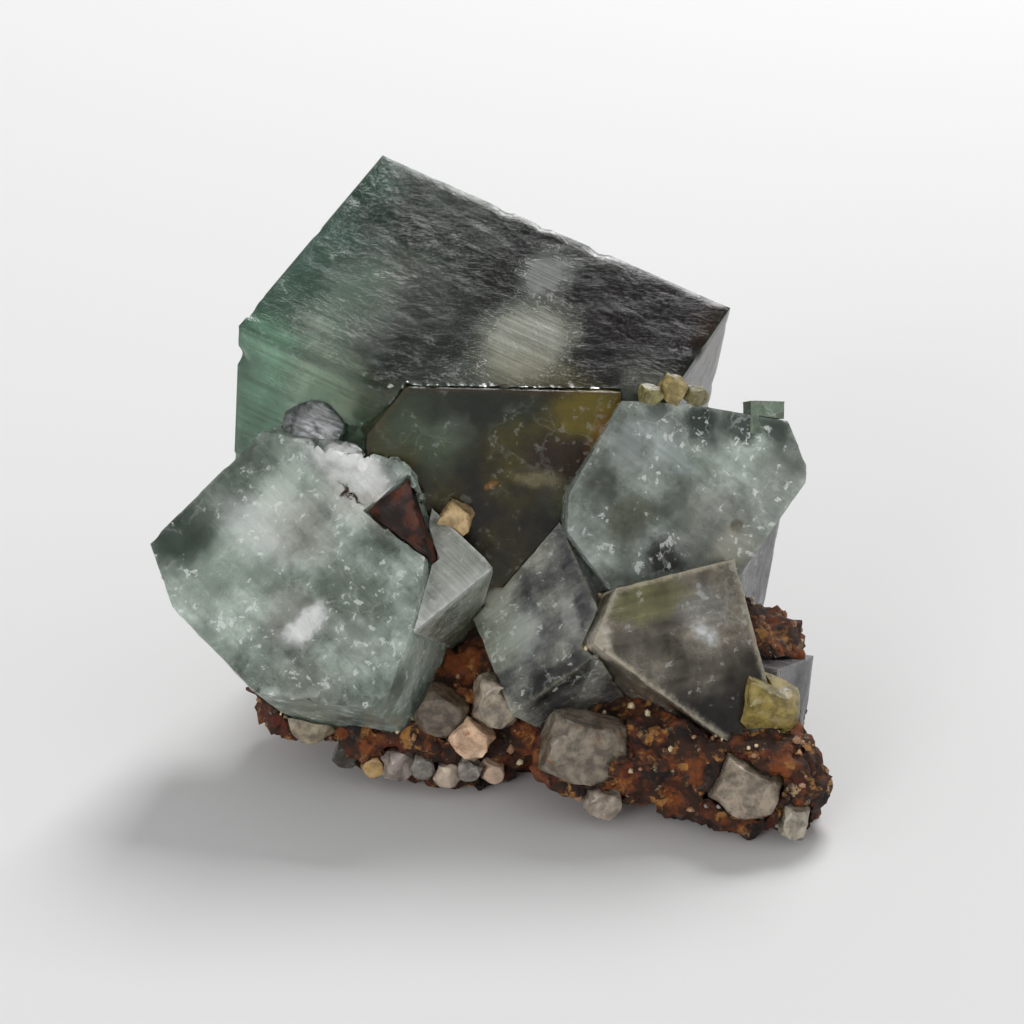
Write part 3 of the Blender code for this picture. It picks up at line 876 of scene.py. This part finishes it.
class FLUORITE_OT_pale(bpy.types.Operator):
    """Grows the pale grey green crystals"""
    bl_idname = "fluorite.pale"
    bl_label = "Pale Crystals"

    def execute(self, context):
        return grow_crystals(context, PALE_CRYSTALS)


class FLUORITE_OT_smoky(bpy.types.Operator):
    """Grows the smoky grey crystals low in front"""
    bl_idname = "fluorite.smoky"
    bl_label = "Smoky Crystals"

    def execute(self, context):
        return grow_crystals(context, SMOKY_CRYSTALS)


class FLUORITE_OT_striated(bpy.types.Operator):
    """Grows the small striated crystals"""
    bl_idname = "fluorite.striated"
    bl_label = "Striated Crystals"

    def execute(self, context):
        return grow_crystals(context, STRIATED_CRYSTALS)


class FLUORITE_OT_grains(bpy.types.Operator):
    """Makes the loose looking grains and crumbs"""
    bl_idname = "fluorite.grains"
    bl_label = "Grains"

    def execute(self, context):
        wear = context.scene.fluorite_sizes.grain_wear / MM
        for index, (node, (body, stain, share)) in enumerate(GRAIN_LOOKS.items()):
            shape = fine_copy(node, 4)
            roughen(shape, ((2.2, 2 * wear, 2), (0.7, 0.5 * wear, 3)), index + 1)
            clarity = 0.0 if node in STONE_GRAINS else 0.6
            material = quartz_grain("grain_" + node, body, stain, share, clarity)
            mesh_object(node + "_grain", shape, material, [node], 24.0)
        return {"FINISHED"}


class FLUORITE_OT_matrix(bpy.types.Operator):
    """Makes the rusty ironstone matrix"""
    bl_idname = "fluorite.matrix"
    bl_label = "Matrix"

    def execute(self, context):
        shape = fine_copy("matrix", 3)
        roughen(shape, ((3.5, 0.8, 3), (1.1, 0.5, 4)), 5)
        for vertex in shape.verts:
            vertex.co.z = max(vertex.co.z, 0.0)
        rock = (*context.scene.fluorite_colours.rock_colour, 1.0)
        material = ironstone("ironstone", rock)
        mesh_object("ironstone_matrix", shape, material, ["matrix"], 60.0)
        return {"FINISHED"}


class FLUORITE_OT_rust(bpy.types.Operator):
    """Fills the seam between the left crystals with rust"""
    bl_idname = "fluorite.rust"
    bl_label = "Rust Seam"

    def execute(self, context):
        depth = context.scene.fluorite_sizes.seam_depth
        seam = fine_copy("rust_seam", 7)
        roughen(seam, ((1.5, 0.3, 4),), 3)
        seam.normal_update()
        outward = -crystal_axes(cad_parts["left_cube"].data)[1]
        for vertex in seam.verts:
            vertex.co -= outward * depth * max(0.0, vertex.normal.dot(outward))
        mesh_object("rust_seam_crust", seam, rust("hematite_crust"), ["rust_seam"], 60.0)
        return {"FINISHED"}


class FLUORITE_OT_crumbs(bpy.types.Operator):
    """Scatters small crumbs on the matrix and crusts along the seams"""
    bl_idname = "fluorite.crumbs"
    bl_label = "Crumbs"

    def execute(self, context):
        materials = {
            "ironstone": bpy.data.materials["ironstone"],
            "rust": bpy.data.materials["hematite_crust"],
            "cream_crumb": quartz_grain("cream_crumbs", "cbb795", "8f6238", 0.35, 0.0),
            "honey_crumb": quartz_grain("honey_crumbs", "a4925a", "6f5a2a", 0.4, 0.4),
            "clear_grain": quartz_grain("clear_crumbs", "b6b0a8", "8a8078", 0.3, 0.7),
        }
        crystals = solid_tree(*(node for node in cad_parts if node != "matrix"))
        rock = bpy.data.objects["ironstone_matrix"].data
        for name, (count, sizes, seed, slot) in CRUMBS.items():
            shape = scatter(count, sizes, Random(seed), rock, crystals)
            mesh_object(name, shape, materials[slot], [], 20.0)
        for name, (pairs, spacing, sizes, slot) in CRUSTS.items():
            shape = crust(pairs, spacing, sizes, Random(name))
            mesh_object(name, shape, materials[slot], [], 20.0)
        return {"FINISHED"}


class FLUORITE_OT_stage(bpy.types.Operator):
    """Lays the pale floor and sets the soft lamps and the camera"""
    bl_idname = "fluorite.stage"
    bl_label = "Stage"

    def execute(self, context):
        stage = context.scene.fluorite_stage
        material, tree = new_material("white_paper")
        shader = add_node(tree, "BsdfPrincipled", None,
                          {"Base Color": (*stage.floor_colour, 1.0), "Roughness": 0.9})
        add_node(tree, "OutputMaterial", None, {"Surface": shader.outputs[0]})
        shape = bmesh.new()
        bmesh.ops.create_grid(shape, x_segments=1, y_segments=1, size=3.0)
        mesh = bpy.data.meshes.new("floor")
        shape.to_mesh(mesh)
        shape.free()
        mesh.materials.append(material)
        floor = bpy.data.objects.new("floor", mesh)
        context.scene.collection.objects.link(floor)
        for name, (place, size, watts) in LAMPS.items():
            self.lamp(context, name, place, size, watts)
        world = bpy.data.worlds.new("studio")
        world.use_nodes = True
        sky = world.node_tree
        direction = add_node(sky, "TexCoord").outputs["Generated"]
        height = add_node(sky, "SeparateXYZ", None, {"Vector": direction}).outputs["Z"]
        strength = add_node(sky, "MapRange", None,
                            {"Value": height, "To Min": stage.horizon, "To Max": stage.zenith})
        sky.links.new(strength.outputs[0], sky.nodes["Background"].inputs["Strength"])
        sky.nodes["Background"].inputs["Color"].default_value = rgba(ROOM_COLOUR)
        context.scene.world = world
        context.scene.view_settings.view_transform = "Standard"
        camera = bpy.data.objects.new("camera", bpy.data.cameras.new("camera"))
        camera.data.lens = stage.lens
        camera.data.clip_start = 0.01
        camera.location = stage.camera_place
        camera.rotation_euler = (radians(90) - stage.camera_pitch, 0, 0)
        context.scene.collection.objects.link(camera)
        context.scene.camera = camera
        return {"FINISHED"}

    def lamp(self, context, name, place, size, watts):
        """A square soft box that faces the specimen's middle."""
        lamp = bpy.data.objects.new(name, bpy.data.lights.new(name, "AREA"))
        lamp.data.size = size
        lamp.data.energy = watts
        lamp.location = place
        lamp.rotation_euler = (Vector((0, 0, 0.02)) - Vector(place)).to_track_quat("-Z", "Y").to_euler()
        context.scene.collection.objects.link(lamp)


class FLUORITE_PT_panel(bpy.types.Panel):
    """Lists the specimen's parts and settings"""
    bl_idname = "FLUORITE_PT_panel"
    bl_label = "Fluorite Specimen"
    bl_space_type = "VIEW_3D"
    bl_region_type = "UI"
    bl_category = "Fluorite"

    def draw(self, context):
        scene = context.scene
        for group in (scene.fluorite_sizes, scene.fluorite_colours, scene.fluorite_stage):
            for name in group.bl_rna.properties.keys():
                if name not in ("rna_type", "name"):
                    self.layout.prop(group, name)
        for operator in STEPS:
            self.layout.operator(operator.bl_idname)


STEPS = (FLUORITE_OT_stage, FLUORITE_OT_green, FLUORITE_OT_olive, FLUORITE_OT_pale, FLUORITE_OT_smoky,
         FLUORITE_OT_striated, FLUORITE_OT_grains, FLUORITE_OT_matrix, FLUORITE_OT_rust,
         FLUORITE_OT_crumbs)
CLASSES = (FluoriteSizes, FluoriteColours, FluoriteStage, *STEPS, FLUORITE_PT_panel)


def register():
    for cls in CLASSES:
        bpy.utils.register_class(cls)
    bpy.types.Scene.fluorite_sizes = bpy.props.PointerProperty(type=FluoriteSizes)
    bpy.types.Scene.fluorite_colours = bpy.props.PointerProperty(type=FluoriteColours)
    bpy.types.Scene.fluorite_stage = bpy.props.PointerProperty(type=FluoriteStage)


def unregister():
    del bpy.types.Scene.fluorite_stage
    del bpy.types.Scene.fluorite_colours
    del bpy.types.Scene.fluorite_sizes
    for cls in reversed(CLASSES):
        bpy.utils.unregister_class(cls)


def main():
    """Registers the classes and builds every part in order."""
    register()
    bpy.ops.fluorite.stage()
    bpy.ops.fluorite.green()
    bpy.ops.fluorite.olive()
    bpy.ops.fluorite.pale()
    bpy.ops.fluorite.smoky()
    bpy.ops.fluorite.striated()
    bpy.ops.fluorite.grains()
    bpy.ops.fluorite.matrix()
    bpy.ops.fluorite.rust()
    bpy.ops.fluorite.crumbs()


if __name__ == "__main__":
    main()
